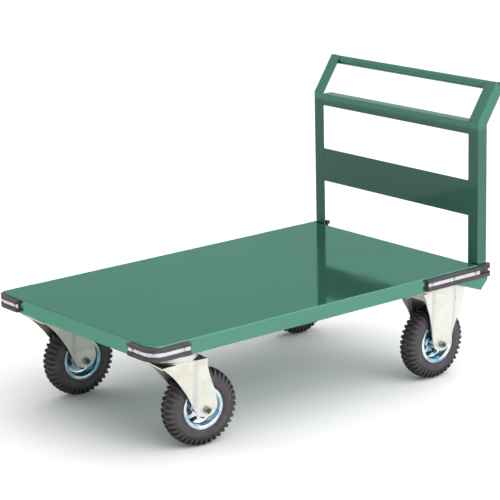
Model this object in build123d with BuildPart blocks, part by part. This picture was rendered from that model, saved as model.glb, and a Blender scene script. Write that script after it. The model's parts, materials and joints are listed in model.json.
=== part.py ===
from build123d import *
from math import cos, radians, sin
import os

# Platform trolley with an angle-steel push handle and pneumatic casters.
# +Z is up and +X points to the push handle; left is -Y. The origin is on the floor, at the
# centre of the overall length and width. A distance "from the nose" runs along +X from the
# front edge of the deck. Millimetres.

# deck
DECK_LENGTH = 1200.0
DECK_WIDTH = 750.0
DECK_TOP = 336.0  # load surface above the floor
DECK_SHEET = 2.3
APRON = 43.0  # depth of the folded edge
NOSE_CORNER = 35.0  # plan radius of the two front corners
EDGE_BEND = 3.5  # outside bend between the top and the apron
CHANNEL_WIDTH = 50.0
CHANNEL_SHEET = 3.2
CHANNEL_HALF = 368.0
MOUNT_Z = 290.0  # underside of the cross channels, where the casters bolt on

# caster mounting
SWIVEL_X = 125.0  # from the nose
SWIVEL_Y = 290.0
TRAIL = 76.0  # swivel axis to axle
SWIVEL_YAW = {"left": -7.0, "right": -3.0}
RIGID_X = 1072.0  # from the nose
RIGID_Y = 310.0
PLATE = (160.0, 112.0, 6.0)
PLATE_BOLTS = (134.0, 80.0)
PLATE_BOLT_R = 6.0
PLATE_HOLE_R = 6.5
PLATE_BOLT_ACROSS = 18.0
PLATE_BOLT_HEAD = 7.5
PLATE_NUT = 10.0
PLATE_BOLT_END = 308.0

# swivel head
CROWN_TOP = 261.5
CROWN_SHEET = 5.0
CUP_R = 68.5
CUP_BOTTOM = 270.0
CUP_WALL = 4.0
RACE_R = 52.0  # pitch radius of the balls
RACE_INNER_R = 42.0
RACE_OUTER_R = 62.0
LOWER_RACE_TOP = 267.0
UPPER_RACE_BOTTOM = 276.0
BALL_R = 5.0
BALL_Z = 271.5
BALL_COUNT = 28
KINGPIN_R = 8.0
KINGPIN_HEAD_R = 14.0
KINGPIN_HEAD = 6.0
KINGPIN_NUT_ACROSS = 24.0
KINGPIN_NUT = 12.0
RUNNING_GAP = 0.05  # radial clearance of a running fit
BODY_GAP = 0.3  # clearance between pieces that move past each other
SEAT_GAP = 0.05  # clearance between pieces fixed together

# forks
FORK_SHEET = 4.0
LEG_LOW_Y = 44.0  # outer face of a leg at the axle
LEG_TOP_Y = 54.0  # outer face of a leg at the crown
LEG_UPRIGHT = 30.0  # height above the axle where the leg starts to spread
LEG_SPREAD = 150.0  # height above the axle where it stops spreading
LEG_FOOT = -30.0
# Plan of a leg as (distance along the wheel, offset outwards): flared wings, a short joggle
# at each fold and a flat panel at the axle.
RIGID_BENDS = [(-88.0, 7.4), (-42.0, -2.5), (-34.0, 0.0), (44.0, 0.0), (52.0, -2.5), (88.0, 4.6)]
SWIVEL_BENDS = [(-150.0, 12.0), (-44.0, -3.0), (-28.0, 0.0), (45.0, 0.0)]
RIGID_LIP = 42.0  # depth of the front and rear lips of the rigid crown, at the legs
RIGID_LIP_MIDDLE = 31.0
PIP_R = 5.5  # pressed rings beside the axle
PIP_INNER_R = 3.8
PIP_HEIGHT = 0.9
PIP_OFFSET = 22.0

# axle
AXLE_R = 6.0
AXLE_ACROSS = 19.0
AXLE_NUT = 10.8
AXLE_HEAD = 7.5
AXLE_END = 61.0  # end of the thread, measured from the middle of the wheel
SPACER_R = 9.5

# wheel
WHEEL_R = 112.0
TYRE_HALF_WIDTH = 30.3
RIM_SHEET = 2.4
RIM_LIP_R = 62.3
RIM_SEAT_R = 52.4
RIM_FACE = 27.0
HUB_END = 29.0
BEARING_R = 16.0
BEARING_WIDTH = 10.0
SLEEVE_R = 9.0
RIM_BOLT_CIRCLE = 34.0
RIM_BOLT_R = 4.0
RIM_BOLT_ACROSS = 13.0
RIM_BOLT_HEAD = 5.3
RIM_BOLT_TURN = 20.0
STEM_R = 5.5
STEM_LENGTH = 26.0
STEM_LEAN = 40.0
STEM_START = (-3.5, 58.5)  # lateral and radial
VALVE_ANGLE = {"front_left": 225.0, "front_right": 100.0, "rear_left": 225.0, "rear_right": 140.0}

# handle
POST_X = 1208.0  # front face of the posts, from the nose
POST_Y = 368.3  # outer face of the posts
POST_LEG = 40.6
POST_WEB = 37.0
ANGLE_SHEET = 3.0
POST_FOOT = 286.0
KNEE_Z = DECK_TOP + 430.0
LEAN = 34.0  # tilt of the arms from the vertical
ARM_LENGTH = 135.0
ARM_INNER_LENGTH = 125.5  # the front leg of an arm is cut back at its free edge
ARM_TIP_R = 12.0
GRIP_ALONG = 126.8  # knee to grip axis, along the arm
GRIP_R = 13.6
GRIP_WALL = 2.3
CROSS_LOW = DECK_TOP + 390.6
CROSS_TOP = DECK_TOP + 428.5
CROSS_DEPTH = 36.0
PANEL_LOW = DECK_TOP + 143.3
PANEL_TOP = DECK_TOP + 250.3
PANEL_SHEET = 2.3
GUSSET_SHEET = 4.3
GUSSET_END = 1247.0
GUSSET_NOTCH = 1240.0  # set back where the bumper turns round the corner

# bumpers
BUMPER_DEPTH = 12.0
BUMPER_HALF = 17.5
BUMPER_Z = DECK_TOP - 22.0
BUMPER_FLOOR = 5.0  # rubber behind the strip
GROOVE_HALF = 6.6
STRIP_THICK = 2.5
STRIP_HALF = 6.3
NOSE_ARM_Y = 272.0
NOSE_ARM_X = 117.0
NOSE_SCREW_Y = 290.0
NOSE_SCREW_X = 100.0
TAIL_START = 988.0
TAIL_BACK = 1247.5
TAIL_CORNER = 14.5
TAIL_RETURN = 1.0
TAIL_STRIP = (994.0, 1205.0)
TAIL_SCREWS = (1010.0, 1099.5, 1189.0)
SCREW_R = 2.4
SCREW_HOLE_R = 2.5
SCREW_HEAD_R = 4.6
SCREW_HEAD = 2.4
SCREW_LENGTH = 18.0

lean = radians(LEAN)
deck_half = DECK_WIDTH / 2
deck_under = DECK_TOP - DECK_SHEET
strip_face = BUMPER_FLOOR + STRIP_THICK
plate_bottom = MOUNT_Z - PLATE[2]
tip_x = POST_X + (ARM_LENGTH - ARM_TIP_R) * sin(lean) + (POST_WEB - ARM_TIP_R) * cos(lean)
ORIGIN_X = (tip_x + ARM_TIP_R - BUMPER_DEPTH) / 2
SIDES = {"left": -1, "right": 1}


def at(from_nose):
    """X in the model frame of a distance measured from the nose."""
    return from_nose - ORIGIN_X


def save(piece, node):
    """Label a finished piece and write it under its node name."""
    piece.part.label = node
    export_step(piece.part, f"parts/{node}.step")


def nose_screw_planes(side):
    """Planes on the outer face of a nose strip, one per screw, facing outwards."""
    reach = (NOSE_CORNER + strip_face) * sin(radians(45))
    corner = (at(NOSE_CORNER) - reach, side * (deck_half - NOSE_CORNER + reach), BUMPER_Z)
    return [
        Plane(origin=(at(-strip_face), side * NOSE_SCREW_Y, BUMPER_Z), z_dir=(-1, 0, 0)),
        Plane(origin=corner, z_dir=(-1, side, 0)),
        Plane(origin=(at(NOSE_SCREW_X), side * (deck_half + strip_face), BUMPER_Z), z_dir=(0, side, 0)),
    ]


def tail_screw_planes(side):
    """The same for the straight strip of a tail bumper."""
    face_y = side * (deck_half + strip_face)
    return [Plane(origin=(at(x), face_y, BUMPER_Z), z_dir=(0, side, 0)) for x in TAIL_SCREWS]


def drill_screw_holes(planes):
    """Cut the clearance hole of every listed screw out of the current part."""
    for plane in planes:
        with BuildSketch(plane) as hole:
            Circle(SCREW_HOLE_R)
        extrude(hole.sketch, amount=-SCREW_LENGTH - 2, mode=Mode.SUBTRACT)


def plate_bolt_places(centre_x, centre_y, height):
    """Locations of the four bolts of one caster plate."""
    return [
        Location((centre_x + i * PLATE_BOLTS[0] / 2, centre_y + j * PLATE_BOLTS[1] / 2, height))
        for i in (-1, 1)
        for j in (-1, 1)
    ]


os.makedirs("parts", exist_ok=True)

caster_centres = [(at(SWIVEL_X), side * SWIVEL_Y) for side in SIDES.values()]
caster_centres += [(at(RIGID_X), side * RIGID_Y) for side in SIDES.values()]

# ---- deck: pressed tray, open below, with a folded apron on all four sides ----
with BuildPart() as deck_tray:
    with BuildSketch(Plane.XY.offset(DECK_TOP - APRON)):
        with Locations((at(DECK_LENGTH / 2), 0)):
            Rectangle(DECK_LENGTH, DECK_WIDTH)
        fillet(vertices().group_by(Axis.X)[0], NOSE_CORNER)
    extrude(amount=APRON)
    fillet(deck_tray.faces().sort_by(Axis.Z)[-1].edges(), EDGE_BEND)
    offset(amount=-DECK_SHEET, openings=deck_tray.faces().sort_by(Axis.Z)[0])
    # slots in the rear apron for the post gussets
    with BuildSketch(Plane.YZ.offset(at(DECK_LENGTH) - 2 * DECK_SHEET)):
        for side in SIDES.values():
            with Locations((side * (POST_Y + GUSSET_SHEET / 2), DECK_TOP - APRON)):
                Rectangle(GUSSET_SHEET + 0.1, 2 * (APRON - DECK_SHEET))
    extrude(amount=4 * DECK_SHEET, mode=Mode.SUBTRACT)
    for side in SIDES.values():
        drill_screw_holes(nose_screw_planes(side) + tail_screw_planes(side))
save(deck_tray, "deck_tray")

# ---- cross channels welded under the deck; the casters bolt to their webs ----
channel_stations = [
    SWIVEL_X - PLATE_BOLTS[0] / 2,
    SWIVEL_X + PLATE_BOLTS[0] / 2,
    DECK_LENGTH / 2,
    RIGID_X - PLATE_BOLTS[0] / 2,
    RIGID_X + PLATE_BOLTS[0] / 2,
]
with BuildPart() as deck_cross_channels:
    with BuildSketch(Plane.XZ.offset(-CHANNEL_HALF)):
        for station in channel_stations:
            with Locations((at(station), MOUNT_Z)):
                Rectangle(CHANNEL_WIDTH, deck_under - MOUNT_Z, align=(Align.CENTER, Align.MIN))
            with Locations((at(station), MOUNT_Z + CHANNEL_SHEET)):
                Rectangle(
                    CHANNEL_WIDTH - 2 * CHANNEL_SHEET,
                    deck_under - MOUNT_Z,
                    align=(Align.CENTER, Align.MIN),
                    mode=Mode.SUBTRACT,
                )
    extrude(amount=2 * CHANNEL_HALF)
    for centre in caster_centres:
        with Locations(*plate_bolt_places(*centre, MOUNT_Z)):
            Cylinder(PLATE_HOLE_R, 3 * CHANNEL_SHEET, mode=Mode.SUBTRACT)
save(deck_cross_channels, "deck_cross_channels")

# ---- gusset plates that carry the posts, welded inside the side aprons ----
for name, side in SIDES.items():
    with BuildPart() as gusset:
        with BuildSketch(Plane.XZ.offset(-side * (POST_Y + SEAT_GAP))):
            with BuildLine():
                Polyline(
                    (at(1104), DECK_TOP - 6),
                    (at(GUSSET_NOTCH), DECK_TOP - 6),
                    (at(GUSSET_NOTCH), DECK_TOP - 41),
                    (at(GUSSET_END), DECK_TOP - 41),
                    (at(GUSSET_END), DECK_TOP - 54),
                    (at(1219), DECK_TOP - 82),
                    (at(1104), DECK_TOP - 41),
                    close=True,
                )
            make_face()
        extrude(amount=-side * (GUSSET_SHEET - SEAT_GAP))
        drill_screw_holes(tail_screw_planes(side)[-1:])
    save(gusset, f"post_gusset_{name}")


# ---- push handle ----
def angle_section(side):
    """L section of a post or an arm: local x rearwards, local y across the trolley."""
    outer = side * POST_Y
    with BuildLine() as edge:
        Polyline(
            (0, outer),
            (POST_WEB, outer),
            (POST_WEB, outer - side * ANGLE_SHEET),
            (ANGLE_SHEET, outer - side * ANGLE_SHEET),
            (ANGLE_SHEET, outer - side * POST_LEG),
            (0, outer - side * POST_LEG),
            close=True,
        )
    make_face(edge.line.edges())


knee = (at(POST_X), 0, KNEE_Z)
mitre = Plane(origin=knee, x_dir=(0, 1, 0), z_dir=(sin(lean / 2), 0, cos(lean / 2)))
arm_plane = Plane(origin=knee, x_dir=(cos(lean), 0, -sin(lean)), z_dir=(sin(lean), 0, cos(lean)))
arm_front = Plane(origin=knee, x_dir=(0, 1, 0), z_dir=(-cos(lean), 0, sin(lean)))
for name, side in SIDES.items():
    with BuildPart() as post:
        with BuildSketch(Plane(origin=(at(POST_X), 0, POST_FOOT))):
            angle_section(side)
        extrude(amount=KNEE_Z - POST_FOOT + POST_WEB)
        split(bisect_by=mitre, keep=Keep.BOTTOM)
    save(post, f"handle_post_{name}")

    with BuildPart() as arm:
        with BuildSketch(arm_plane.offset(-POST_WEB)):
            angle_section(side)
        extrude(amount=ARM_LENGTH + POST_WEB)
        split(bisect_by=mitre, keep=Keep.TOP)
        # the front leg slopes down towards its free edge
        with BuildSketch(arm_front):
            with BuildLine():
                Polyline(
                    (side * (POST_Y - ANGLE_SHEET), ARM_LENGTH),
                    (side * (POST_Y - POST_LEG - 1), ARM_INNER_LENGTH),
                    (side * (POST_Y - POST_LEG - 1), ARM_LENGTH + 5),
                    (side * (POST_Y - ANGLE_SHEET), ARM_LENGTH + 5),
                    close=True,
                )
            make_face()
        extrude(amount=-2 * ANGLE_SHEET, mode=Mode.SUBTRACT)
        tip = arm.edges().filter_by(Axis.Y).sort_by(Axis.X)[-1]
        fillet(tip, ARM_TIP_R)
    save(arm, f"handle_arm_{name}")

inner_half = POST_Y - POST_LEG - SEAT_GAP
with BuildPart() as handle_cross_bar:
    with BuildSketch(Plane.XZ.offset(-inner_half)):
        with Locations((at(POST_X), CROSS_LOW)):
            Rectangle(ANGLE_SHEET, CROSS_TOP - CROSS_LOW, align=(Align.MIN, Align.MIN))
        with Locations((at(POST_X), CROSS_TOP)):
            Rectangle(CROSS_DEPTH, ANGLE_SHEET, align=(Align.MIN, Align.MAX))
    extrude(amount=2 * inner_half)
save(handle_cross_bar, "handle_cross_bar")

with BuildPart() as handle_panel:
    with BuildSketch(Plane.YZ.offset(at(POST_X))):
        with Locations((0, PANEL_LOW)):
            Rectangle(2 * inner_half, PANEL_TOP - PANEL_LOW, align=(Align.CENTER, Align.MIN))
    extrude(amount=PANEL_SHEET)
save(handle_panel, "handle_panel")

grip_setback = ANGLE_SHEET + GRIP_R + SEAT_GAP
grip_x = at(POST_X) + GRIP_ALONG * sin(lean) + grip_setback * cos(lean)
grip_z = KNEE_Z + GRIP_ALONG * cos(lean) - grip_setback * sin(lean)
grip_half = POST_Y - ANGLE_SHEET - SEAT_GAP
with BuildPart() as handle_grip_bar:
    with BuildSketch(Plane.XZ.offset(-grip_half)):
        with Locations((grip_x, grip_z)):
            Circle(GRIP_R)
            Circle(GRIP_R - GRIP_WALL, mode=Mode.SUBTRACT)
    extrude(amount=2 * grip_half)
save(handle_grip_bar, "handle_grip_bar")


# ---- rubber corner bumpers, each with a steel strip in its groove ----
def nose_band(side, inner, outer):
    """Plan of a band round a front corner, between two distances from the apron."""
    middle = (at(NOSE_CORNER), deck_half - NOSE_CORNER)

    def corner(grow):
        reach = (NOSE_CORNER + grow) * sin(radians(45))
        return (middle[0] - reach, side * (middle[1] + reach))

    with BuildLine() as edge:
        Line((at(NOSE_ARM_X), side * (deck_half + outer)), (middle[0], side * (deck_half + outer)))
        ThreePointArc(
            (middle[0], side * (deck_half + outer)), corner(outer), (at(-outer), side * middle[1])
        )
        Line((at(-outer), side * middle[1]), (at(-outer), side * NOSE_ARM_Y))
        Line((at(-outer), side * NOSE_ARM_Y), (at(-inner), side * NOSE_ARM_Y))
        Line((at(-inner), side * NOSE_ARM_Y), (at(-inner), side * middle[1]))
        ThreePointArc(
            (at(-inner), side * middle[1]), corner(inner), (middle[0], side * (deck_half + inner))
        )
        Line((middle[0], side * (deck_half + inner)), (at(NOSE_ARM_X), side * (deck_half + inner)))
        Line((at(NOSE_ARM_X), side * (deck_half + inner)), (at(NOSE_ARM_X), side * (deck_half + outer)))
    make_face(edge.line.edges())


def tail_band(side, depth):
    """Plan of a band along the side of the deck and round the back of the post."""
    middle = (at(TAIL_BACK - TAIL_CORNER), deck_half - TAIL_CORNER)
    back = middle[1] - TAIL_RETURN

    def corner(grow):
        reach = (TAIL_CORNER + grow) * sin(radians(45))
        return (middle[0] + reach, side * (middle[1] + reach))

    with BuildLine() as edge:
        Line((at(TAIL_START), side * (deck_half + depth)), (middle[0], side * (deck_half + depth)))
        ThreePointArc(
            (middle[0], side * (deck_half + depth)),
            corner(depth),
            (at(TAIL_BACK + depth), side * middle[1]),
        )
        Line((at(TAIL_BACK + depth), side * middle[1]), (at(TAIL_BACK + depth), side * back))
        Line((at(TAIL_BACK + depth), side * back), (at(TAIL_BACK), side * back))
        Line((at(TAIL_BACK), side * back), (at(TAIL_BACK), side * middle[1]))
        ThreePointArc((at(TAIL_BACK), side * middle[1]), corner(0), (middle[0], side * deck_half))
        Line((middle[0], side * deck_half), (at(TAIL_START), side * deck_half))
        Line((at(TAIL_START), side * deck_half), (at(TAIL_START), side * (deck_half + depth)))
    make_face(edge.line.edges())


def bumper_solid(plan, screw_planes):
    """Build a bumper: two full-depth lips and a thin floor between them."""
    lip = BUMPER_HALF - GROOVE_HALF
    for low in (BUMPER_Z - BUMPER_HALF, BUMPER_Z + GROOVE_HALF):
        with BuildSketch(Plane.XY.offset(low)) as lip_plan:
            plan(BUMPER_DEPTH)
        extrude(lip_plan.sketch, amount=lip)
    with BuildSketch(Plane.XY.offset(BUMPER_Z - GROOVE_HALF)) as floor_plan:
        plan(BUMPER_FLOOR)
    extrude(floor_plan.sketch, amount=2 * GROOVE_HALF)
    drill_screw_holes(screw_planes)


for name, side in SIDES.items():
    with BuildPart() as nose_bumper:
        bumper_solid(lambda depth: nose_band(side, 0, depth), nose_screw_planes(side))
    save(nose_bumper, f"bumper_front_{name}")

    with BuildPart() as tail_bumper:
        bumper_solid(lambda depth: tail_band(side, depth), tail_screw_planes(side))
    save(tail_bumper, f"bumper_rear_{name}")

with BuildPart() as bumper_strips_front:
    for side in SIDES.values():
        with BuildSketch(Plane.XY.offset(BUMPER_Z - STRIP_HALF)):
            nose_band(side, BUMPER_FLOOR, strip_face)
        extrude(amount=2 * STRIP_HALF)
        drill_screw_holes(nose_screw_planes(side))
save(bumper_strips_front, "bumper_strips_front")

with BuildPart() as bumper_strips_rear:
    for side in SIDES.values():
        with BuildSketch(Plane.XY.offset(BUMPER_Z - STRIP_HALF)):
            with Locations((at(sum(TAIL_STRIP) / 2), side * (deck_half + strip_face - STRIP_THICK / 2))):
                Rectangle(TAIL_STRIP[1] - TAIL_STRIP[0], STRIP_THICK)
        extrude(amount=2 * STRIP_HALF)
        drill_screw_holes(tail_screw_planes(side))
save(bumper_strips_rear, "bumper_strips_rear")

with BuildPart() as bumper_screws:
    for side in SIDES.values():
        for plane in nose_screw_planes(side) + tail_screw_planes(side):
            with BuildSketch(plane):
                Circle(SCREW_HEAD_R)
            extrude(amount=SCREW_HEAD)
            with BuildSketch(plane):
                Circle(SCREW_R)
            extrude(amount=-SCREW_LENGTH)
save(bumper_screws, "bumper_screws")

# ---- caster plates, bolts and swivel bearings ----
with BuildPart() as caster_mounting_bolts:
    for centre in caster_centres:
        with BuildSketch(Plane.XY.offset(plate_bottom)):
            with Locations(*plate_bolt_places(*centre, 0)):
                RegularPolygon(PLATE_BOLT_ACROSS / 2, 6, major_radius=False)
        extrude(amount=-PLATE_BOLT_HEAD)
        with BuildSketch(Plane.XY.offset(plate_bottom)):
            with Locations(*plate_bolt_places(*centre, 0)):
                Circle(PLATE_BOLT_R)
        extrude(amount=PLATE_BOLT_END - plate_bottom)
        with BuildSketch(Plane.XY.offset(MOUNT_Z + CHANNEL_SHEET)):
            with Locations(*plate_bolt_places(*centre, 0)):
                RegularPolygon(PLATE_BOLT_ACROSS / 2, 6, major_radius=False)
        extrude(amount=PLATE_NUT)
save(caster_mounting_bolts, "caster_mounting_bolts")


def mounting_plate(centre):
    """Flat four-hole plate under the cross channels."""
    with BuildSketch(Plane.XY.offset(plate_bottom)) as plate_plan:
        with Locations(centre):
            RectangleRounded(PLATE[0], PLATE[1], 10)
        with Locations(*plate_bolt_places(*centre, 0)):
            Circle(PLATE_HOLE_R, mode=Mode.SUBTRACT)
    extrude(plate_plan.sketch, amount=PLATE[2])


for name, side in SIDES.items():
    centre = (at(SWIVEL_X), side * SWIVEL_Y)
    with BuildPart() as front_top_plate:
        mounting_plate(centre)
        with BuildSketch(Plane.XY.offset(CUP_BOTTOM)):
            with Locations(centre):
                Circle(CUP_R)
                Circle(CUP_R - CUP_WALL, mode=Mode.SUBTRACT)
        extrude(amount=plate_bottom - CUP_BOTTOM)
        with BuildSketch(Plane.XY.offset(UPPER_RACE_BOTTOM)):
            with Locations(centre):
                Circle(CUP_R - CUP_WALL)
                Circle(RACE_INNER_R, mode=Mode.SUBTRACT)
        extrude(amount=plate_bottom - UPPER_RACE_BOTTOM)
        with Locations((*centre, BALL_Z)):
            Torus(RACE_R, BALL_R + SEAT_GAP, mode=Mode.SUBTRACT)
        with Locations((*centre, MOUNT_Z)):
            Cylinder(KINGPIN_R + 0.01, 4 * PLATE[2], mode=Mode.SUBTRACT)
    save(front_top_plate, f"front_top_plate_{name}")

    with BuildPart() as rear_top_plate:
        mounting_plate((at(RIGID_X), side * RIGID_Y))
    save(rear_top_plate, f"rear_top_plate_{name}")

crown_bottom = CROWN_TOP - CROWN_SHEET
with BuildPart() as front_kingpins:
    for side in SIDES.values():
        centre = (at(SWIVEL_X), side * SWIVEL_Y)
        nut_top = crown_bottom - BODY_GAP
        with BuildSketch(Plane.XY.offset(MOUNT_Z)):
            with Locations(centre):
                Circle(KINGPIN_HEAD_R)
        extrude(amount=KINGPIN_HEAD)
        with BuildSketch(Plane.XY.offset(nut_top - KINGPIN_NUT - 4)):
            with Locations(centre):
                Circle(KINGPIN_R)
        extrude(amount=MOUNT_Z - nut_top + KINGPIN_NUT + 4)
        with BuildSketch(Plane.XY.offset(nut_top)):
            with Locations(centre):
                RegularPolygon(KINGPIN_NUT_ACROSS / 2, 6, major_radius=False)
        extrude(amount=-KINGPIN_NUT)
save(front_kingpins, "front_kingpins")

with BuildPart() as swivel_bearing_balls:
    for side in SIDES.values():
        with Locations((at(SWIVEL_X), side * SWIVEL_Y, BALL_Z)):
            with PolarLocations(RACE_R, BALL_COUNT):
                Sphere(BALL_R)
save(swivel_bearing_balls, "swivel_bearing_balls")


# ---- wheel planes ----
def wheel_plane(corner):
    """Mid plane of a wheel at rest: local x away from the nose, y up, z to the left."""
    end, name = corner.split("_")
    side = SIDES[name]
    if end == "rear":
        return Plane(origin=(at(RIGID_X), side * RIGID_Y, WHEEL_R), x_dir=(1, 0, 0), z_dir=(0, -1, 0))
    yaw = radians(SWIVEL_YAW[name])
    centre_x = at(SWIVEL_X) + TRAIL * cos(yaw)
    centre_y = side * SWIVEL_Y + TRAIL * sin(yaw)
    return Plane(
        origin=(centre_x, centre_y, WHEEL_R),
        x_dir=(cos(yaw), sin(yaw), 0),
        z_dir=(sin(yaw), -cos(yaw), 0),
    )


def axle_section(plane):
    """Plane through the axle line: local x along it to the right, local y up."""
    return Plane(origin=plane.origin, x_dir=-plane.z_dir, z_dir=plane.x_dir)


def axle_cylinder(plane, radius, start, end):
    """Add a cylinder on the axle line between two lateral positions, left positive."""
    with BuildSketch(plane.offset(start)) as disc:
        Circle(radius)
    extrude(disc.sketch, amount=end - start)


# ---- forks ----
def leg_profile(side, top):
    """Cross-section of a leg in a plane across the trolley: local x lateral, local y up."""
    spread = min(LEG_SPREAD, top - CROWN_SHEET)
    with BuildLine() as edge:
        Polyline(
            (side * LEG_LOW_Y, LEG_FOOT),
            (side * LEG_LOW_Y, LEG_UPRIGHT),
            (side * LEG_TOP_Y, spread),
            (side * LEG_TOP_Y, top),
            (side * (LEG_TOP_Y - FORK_SHEET), top),
            (side * (LEG_TOP_Y - FORK_SHEET), spread),
            (side * (LEG_LOW_Y - FORK_SHEET), LEG_UPRIGHT),
            (side * (LEG_LOW_Y - FORK_SHEET), LEG_FOOT),
            close=True,
        )
    make_face(edge.line.edges())


def fork_panels(plane, bends, top):
    """Both legs, panel by panel from bend to bend."""
    section = axle_section(plane)
    for side in (-1, 1):
        outwards = -side * plane.z_dir
        for (start, start_offset), (end, end_offset) in zip(bends, bends[1:]):
            run = (end - start) * plane.x_dir + (end_offset - start_offset) * outwards
            foot = section.origin + start * plane.x_dir + start_offset * outwards
            with BuildSketch(Plane(origin=foot, x_dir=section.x_dir, z_dir=section.z_dir)) as panel:
                leg_profile(side, top)
            extrude(panel.sketch, amount=run.length, dir=run)


def trim_to_outline(plane, points):
    """Keep only what lies inside the side view of the fork."""
    with BuildSketch(plane.offset(-120)) as outline:
        with BuildLine():
            edge = Spline(*points)
            Line(edge @ 1, edge @ 0)
        make_face()
    extrude(outline.sketch, amount=240, mode=Mode.INTERSECT)


def rigid_crown(plane, top):
    """Flat crown of the rigid fork with turned-down, arched front and rear lips."""
    width = 2 * LEG_TOP_Y - 6
    section = axle_section(plane)
    with BuildSketch(section.offset(-56)) as sheet:
        with Locations((0, top)):
            Rectangle(width, CROWN_SHEET, align=(Align.CENTER, Align.MAX))
    extrude(sheet.sketch, amount=112)
    for start in (-56, 56 - FORK_SHEET):
        with BuildSketch(section.offset(start)) as lip:
            with Locations((0, top)):
                Rectangle(width, RIGID_LIP, align=(Align.CENTER, Align.MAX))
            with Locations((0, top - RIGID_LIP_MIDDLE)):
                RectangleRounded(
                    width - 18, 80, 20, align=(Align.CENTER, Align.MAX), mode=Mode.SUBTRACT
                )
        extrude(lip.sketch, amount=FORK_SHEET)


def axle_holes(plane):
    """Bolt hole through both legs and the two pressed pips beside each."""
    with BuildSketch(plane.offset(-120)) as hole:
        Circle(AXLE_R + SEAT_GAP)
    extrude(hole.sketch, amount=240, mode=Mode.SUBTRACT)
    for side in (-1, 1):
        with BuildSketch(plane.offset(side * (LEG_LOW_Y - 1))) as pips:
            with Locations((-PIP_OFFSET, 0), (PIP_OFFSET, 0)):
                Circle(PIP_R)
                Circle(PIP_INNER_R, mode=Mode.SUBTRACT)
        extrude(pips.sketch, amount=side * (PIP_HEIGHT + 1))


# side views of the forks as (along the wheel, up from the axle)
RIGID_OUTLINE = [
    (-88, 172),
    (-76, 153),
    (-65, 127),
    (-52, 101),
    (-42.5, 72),
    (-38, 50),
    (-35, 30),
    (-31, 6),
    (-22, -12),
    (-2, -20),
    (20, -18),
    (35, -5),
    (44, 14),
    (51, 34),
    (59.5, 61),
    (70, 88),
    (78.5, 118),
    (83, 143),
    (84, 172),
]
SWIVEL_OUTLINE = [
    (-146, 149.5),
    (-129, 135),
    (-107, 114),
    (-87, 90),
    (-70, 66),
    (-54, 41),
    (-43.5, 19),
    (-35, 1),
    (-25, -12),
    (-12, -19),
    (4, -20.5),
    (19, -16),
    (30, -4),
    (34.5, 14),
    (31, 36),
    (23, 62),
    (15, 85),
    (7.5, 108),
    (3, 130),
    (1.5, 149.5),
]
for name, side in SIDES.items():
    plane = wheel_plane(f"rear_{name}")
    crown_top = plate_bottom - WHEEL_R
    with BuildPart() as rear_fork:
        fork_panels(plane, RIGID_BENDS, crown_top)
        trim_to_outline(plane, RIGID_OUTLINE)
        rigid_crown(plane, crown_top)
        axle_holes(plane)
    save(rear_fork, f"rear_fork_{name}")

    plane = wheel_plane(f"front_{name}")
    crown_top = CROWN_TOP - WHEEL_R
    (wing_end, wing_offset), (fold, fold_offset), (panel, _) = SWIVEL_BENDS[:3]
    front = SWIVEL_OUTLINE[0][0]
    front_offset = fold_offset + (wing_offset - fold_offset) * (fold - front) / (fold - wing_end)
    crown_half = LEG_TOP_Y - 2
    with BuildPart() as front_fork:
        fork_panels(plane, SWIVEL_BENDS, crown_top)
        trim_to_outline(plane, SWIVEL_OUTLINE)
        crown_plane = Plane(
            origin=plane.origin + Vector(0, 0, crown_top), x_dir=plane.x_dir, z_dir=(0, 0, 1)
        )
        with BuildSketch(crown_plane):
            with BuildLine():
                Polyline(
                    (1.5, -crown_half),
                    (panel, -crown_half),
                    (fold, -crown_half - fold_offset),
                    (front, -crown_half - front_offset),
                    (front, crown_half + front_offset),
                    (fold, crown_half + fold_offset),
                    (panel, crown_half),
                    (1.5, crown_half),
                    close=True,
                )
            make_face()
        extrude(amount=-CROWN_SHEET)
        with BuildSketch(crown_plane):
            with Locations((-TRAIL, 0)):
                Circle(RACE_OUTER_R)
        extrude(amount=LOWER_RACE_TOP - CROWN_TOP)
        swivel_point = (at(SWIVEL_X), side * SWIVEL_Y)
        with Locations((*swivel_point, LOWER_RACE_TOP)):
            Cylinder(RACE_INNER_R, 2 * (LOWER_RACE_TOP - CROWN_TOP), mode=Mode.SUBTRACT)
        with Locations((*swivel_point, BALL_Z)):
            Torus(RACE_R, BALL_R + BODY_GAP, mode=Mode.SUBTRACT)
        with Locations((*swivel_point, CROWN_TOP)):
            Cylinder(KINGPIN_R + RUNNING_GAP, 4 * CROWN_SHEET, mode=Mode.SUBTRACT)
        axle_holes(plane)
    save(front_fork, f"front_fork_{name}")


# ---- axles ----
def axle_bolt(plane):
    """Hexagon bolt through both legs, threaded end to the left."""
    axle_cylinder(plane, AXLE_R, -LEG_LOW_Y, AXLE_END)
    with BuildSketch(plane.offset(-LEG_LOW_Y - SEAT_GAP)) as head:
        RegularPolygon(AXLE_ACROSS / 2, 6, major_radius=False)
    extrude(head.sketch, amount=-AXLE_HEAD)
    axle_cylinder(plane, AXLE_R, -LEG_LOW_Y - 1, -LEG_LOW_Y)


def axle_nut(plane):
    """Hexagon nut against the outside of the left leg."""
    with BuildSketch(plane.offset(LEG_LOW_Y + SEAT_GAP)) as nut:
        RegularPolygon(AXLE_ACROSS / 2, 6, major_radius=False)
        Circle(AXLE_R + SEAT_GAP, mode=Mode.SUBTRACT)
    extrude(nut.sketch, amount=AXLE_NUT)


def axle_spacers(plane):
    """Distance rings between the bearings and the legs."""
    for start, reach in ((HUB_END + BODY_GAP, 1), (-HUB_END - BODY_GAP, -1)):
        with BuildSketch(plane.offset(start)) as ring:
            Circle(SPACER_R)
            Circle(AXLE_R + SEAT_GAP, mode=Mode.SUBTRACT)
        length = LEG_LOW_Y - FORK_SHEET - HUB_END - BODY_GAP - SEAT_GAP
        extrude(ring.sketch, amount=reach * length)


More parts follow.
